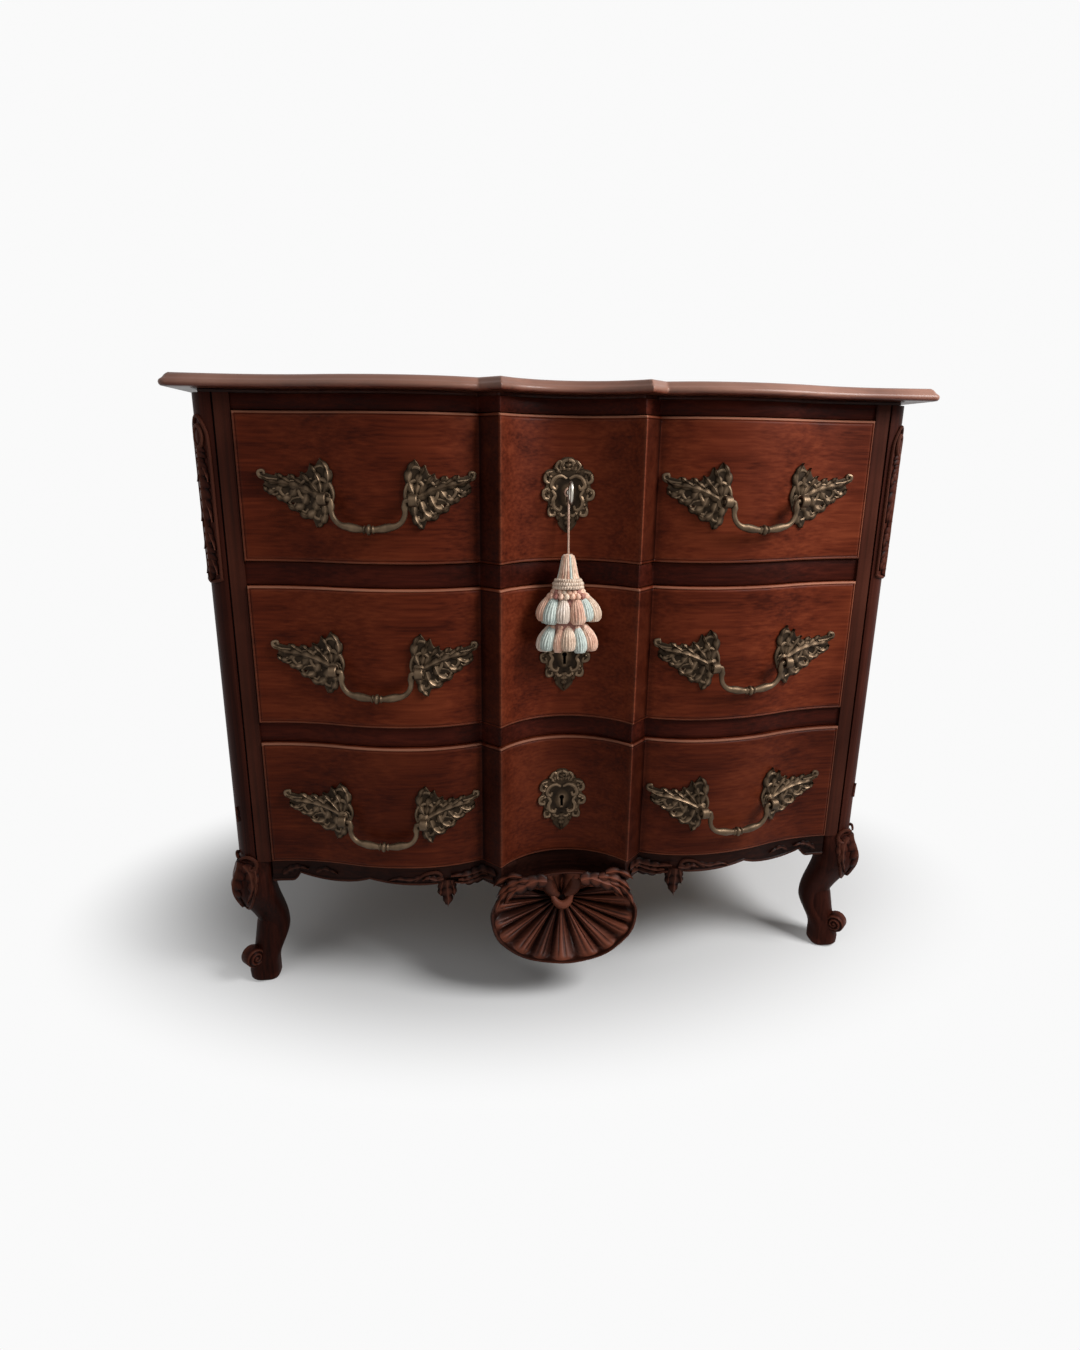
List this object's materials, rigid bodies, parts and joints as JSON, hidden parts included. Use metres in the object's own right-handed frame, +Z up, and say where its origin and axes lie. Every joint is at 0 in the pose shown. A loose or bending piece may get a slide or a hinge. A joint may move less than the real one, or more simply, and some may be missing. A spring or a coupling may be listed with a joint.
{
  "type": "chest of drawers",
  "caption": "Commode with a crossbow front, long drawers on rocaille bail pulls, carved shell apron, scroll feet, and a key with a hanging tassel.",
  "frame": {"origin": "on the floor, under the middle of the bounding box", "axes": "+X to the viewer's right along the width, +Y from the front to the back, +Z up"},
  "size_m": [1.12, 0.5987, 0.976],
  "materials": {
    "show_wood": "satin wax polish",
    "drawer_wood": "satin wax polish",
    "plain_wood": "bare planed wood",
    "bronze": "dark patina, worn high spots",
    "iron": "dark oiled iron",
    "key_metal": "handled, half bright",
    "tassel": "soft cotton yarn"
  },
  "bodies": {
    "carcass": {"top_panel": "show_wood", "front_post_left": "show_wood", "front_post_right": "show_wood", "side_top_rail_left": "show_wood", "side_top_rail_right": "show_wood", "side_bottom_rail_left": "show_wood", "side_bottom_rail_right": "show_wood", "side_panel_left": "show_wood", "side_panel_right": "show_wood", "front_top_rail": "show_wood", "upper_drawer_rail": "show_wood", "lower_drawer_rail": "show_wood", "apron": "show_wood", "apron_shell": "show_wood", "rear_post_left": "plain_wood", "rear_post_right": "plain_wood", "back_boards": "plain_wood", "drawer_runners": "plain_wood", "drawer_guides": "plain_wood", "top_pegs": "plain_wood"},
    "drawer_top": {"drawer_front_top": "drawer_wood", "drawer_side_top_left": "plain_wood", "drawer_side_top_right": "plain_wood", "drawer_back_top": "plain_wood", "drawer_bottom_top": "plain_wood", "pull_plates_top": "bronze", "pull_posts_top": "bronze", "escutcheon_top": "bronze", "lock_case_top": "iron"},
    "bail_top_left": {"bail_top_left": "bronze"},
    "bail_top_right": {"bail_top_right": "bronze"},
    "lock_bolt_top": {"lock_bolt_top": "iron"},
    "drawer_middle": {"drawer_front_middle": "drawer_wood", "drawer_side_middle_left": "plain_wood", "drawer_side_middle_right": "plain_wood", "drawer_back_middle": "plain_wood", "drawer_bottom_middle": "plain_wood", "pull_plates_middle": "bronze", "pull_posts_middle": "bronze", "escutcheon_middle": "bronze", "lock_case_middle": "iron"},
    "bail_middle_left": {"bail_middle_left": "bronze"},
    "bail_middle_right": {"bail_middle_right": "bronze"},
    "lock_bolt_middle": {"lock_bolt_middle": "iron"},
    "drawer_bottom": {"drawer_front_bottom": "drawer_wood", "drawer_side_bottom_left": "plain_wood", "drawer_side_bottom_right": "plain_wood", "drawer_back_bottom": "plain_wood", "drawer_bottom_bottom": "plain_wood", "pull_plates_bottom": "bronze", "pull_posts_bottom": "bronze", "escutcheon_bottom": "bronze", "lock_case_bottom": "iron"},
    "bail_bottom_left": {"bail_bottom_left": "bronze"},
    "bail_bottom_right": {"bail_bottom_right": "bronze"},
    "lock_bolt_bottom": {"lock_bolt_bottom": "iron"},
    "key": {"key": "key_metal"},
    "tassel": {"tassel_cord": "tassel", "tassel_head": "tassel", "tassel_skirts": "tassel"}
  },
  "joints": [
    {"name": "drawer_top_slide", "type": "slide", "parent": "carcass", "child": "drawer_top", "axis": [0, -1, 0], "range_m": [0, 0.35]},
    {"name": "drawer_middle_slide", "type": "slide", "parent": "carcass", "child": "drawer_middle", "axis": [0, -1, 0], "range_m": [0, 0.35], "deforming": ["tassel_cord", "tassel_head", "tassel_skirts"]},
    {"name": "drawer_bottom_slide", "type": "slide", "parent": "carcass", "child": "drawer_bottom", "axis": [0, -1, 0], "range_m": [0, 0.35]},
    {"name": "bail_top_left_lift", "type": "hinge", "parent": "drawer_top", "child": "bail_top_left", "pos_m": [-0.28702, -0.26412, 0.812], "axis": [-0.9827, 0.1852, 0], "range_deg": [0, 90]},
    {"name": "bail_top_right_lift", "type": "hinge", "parent": "drawer_top", "child": "bail_top_right", "pos_m": [0.28702, -0.26412, 0.812], "axis": [-0.9827, -0.1852, 0], "range_deg": [0, 90]},
    {"name": "bail_middle_left_lift", "type": "hinge", "parent": "drawer_middle", "child": "bail_middle_left", "pos_m": [-0.28702, -0.26412, 0.564], "axis": [-0.9827, 0.1852, 0], "range_deg": [0, 90]},
    {"name": "bail_middle_right_lift", "type": "hinge", "parent": "drawer_middle", "child": "bail_middle_right", "pos_m": [0.28702, -0.26412, 0.564], "axis": [-0.9827, -0.1852, 0], "range_deg": [0, 90]},
    {"name": "bail_bottom_left_lift", "type": "hinge", "parent": "drawer_bottom", "child": "bail_bottom_left", "pos_m": [-0.28702, -0.26412, 0.321], "axis": [-0.9827, 0.1852, 0], "range_deg": [0, 90]},
    {"name": "bail_bottom_right_lift", "type": "hinge", "parent": "drawer_bottom", "child": "bail_bottom_right", "pos_m": [0.28702, -0.26412, 0.321], "axis": [-0.9827, -0.1852, 0], "range_deg": [0, 90]},
    {"name": "key_turn", "type": "hinge", "parent": "drawer_top", "child": "key", "pos_m": [0, -0.224, 0.822], "axis": [0, 1, 0], "range_deg": [0, 360]},
    {"name": "lock_bolt_top_throw", "type": "slide", "parent": "drawer_top", "child": "lock_bolt_top", "axis": [0, 0, 1], "range_m": [0, 0.012]},
    {"name": "lock_bolt_middle_throw", "type": "slide", "parent": "drawer_middle", "child": "lock_bolt_middle", "axis": [0, 0, 1], "range_m": [0, 0.012]},
    {"name": "lock_bolt_bottom_throw", "type": "slide", "parent": "drawer_bottom", "child": "lock_bolt_bottom", "axis": [0, 0, 1], "range_m": [0, 0.012]},
    {"name": "tassel_swing", "type": "hinge", "parent": "drawer_top", "child": "tassel", "pos_m": [0, -0.224, 0.822], "axis": [-1, 0, 0], "range_deg": [0, 20]}
  ],
  "couplings": [
    {"joint": "key_turn", "follows": "lock_bolt_top_throw", "rad_per_m": 523.59}
  ]
}
